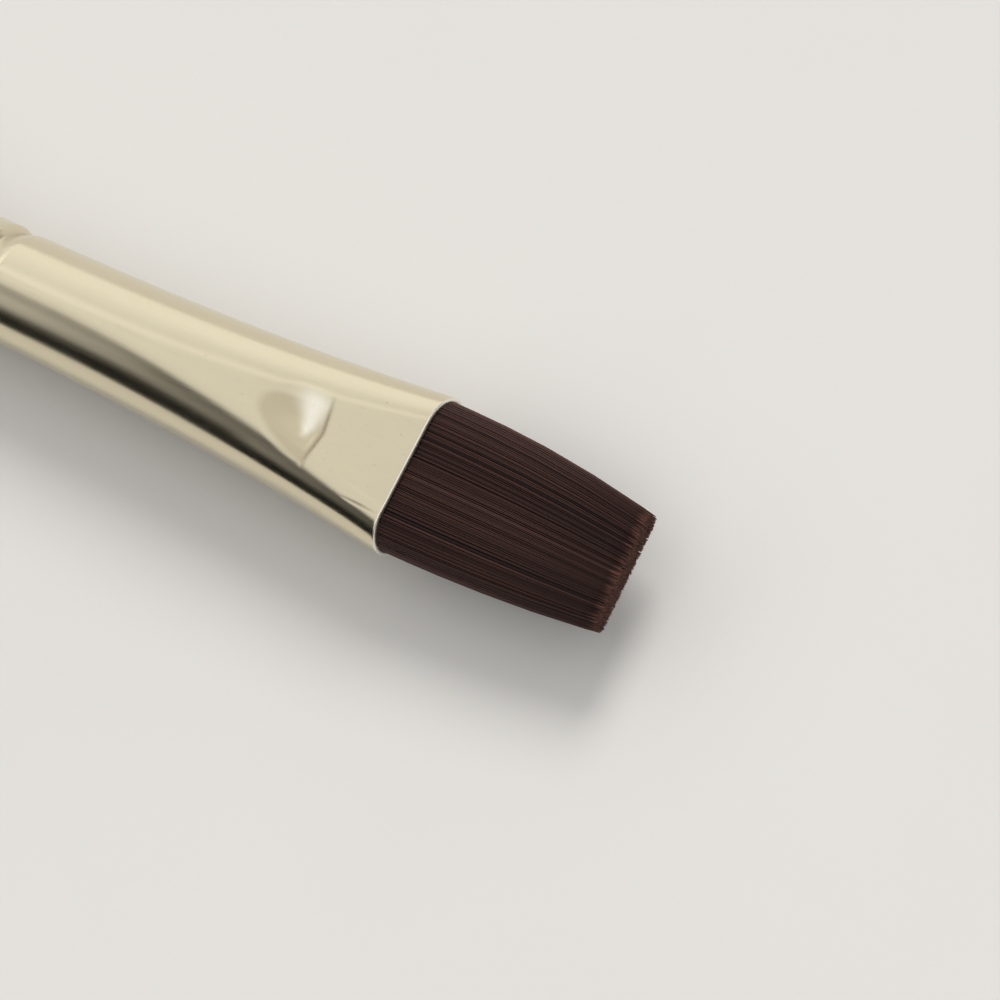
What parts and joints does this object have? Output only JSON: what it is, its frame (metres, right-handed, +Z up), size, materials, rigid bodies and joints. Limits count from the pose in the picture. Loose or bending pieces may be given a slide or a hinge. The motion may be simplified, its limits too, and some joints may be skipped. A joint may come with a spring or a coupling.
{
  "type": "flat artist's brush",
  "caption": "Small square-cut flat brush for fine detail work: turned wooden handle, pressed gold-toned metal ferrule and a tapering dark filament tuft that flexes at the ferrule's mouth.",
  "frame": {"origin": "bottom centre of the bounding box: on the surface that the handle's belly lies on, at mid length", "axes": "+X along the brush towards the tip, +Y across the flat of the tuft, +Z up, square to the flat"},
  "size_m": [0.1852, 0.0084, 0.0074],
  "materials": {
    "lacquered_wood": "dark stain under clear gloss lacquer",
    "handle_glue": "set wood glue",
    "gold_metal": "polished, pale gold anodised",
    "resin": "set epoxy",
    "bonded_filament": "filament ends soaked with resin",
    "filament": "dark brown satin synthetic filament"
  },
  "bodies": {
    "handle": {"handle": "lacquered_wood", "handle_glue": "handle_glue", "ferrule": "gold_metal", "resin_plug": "resin", "tuft_heel": "bonded_filament"},
    "tuft": {"tuft_root": "bonded_filament", "tuft": "filament"}
  },
  "joints": [
    {"name": "tuft_flex", "type": "hinge", "parent": "handle", "child": "tuft", "pos_m": [0.08085, 0, 0.0037], "axis": [0, 1, 0], "range_deg": [-35, 35], "stiffness_Nm_per_rad": 0.004}
  ]
}
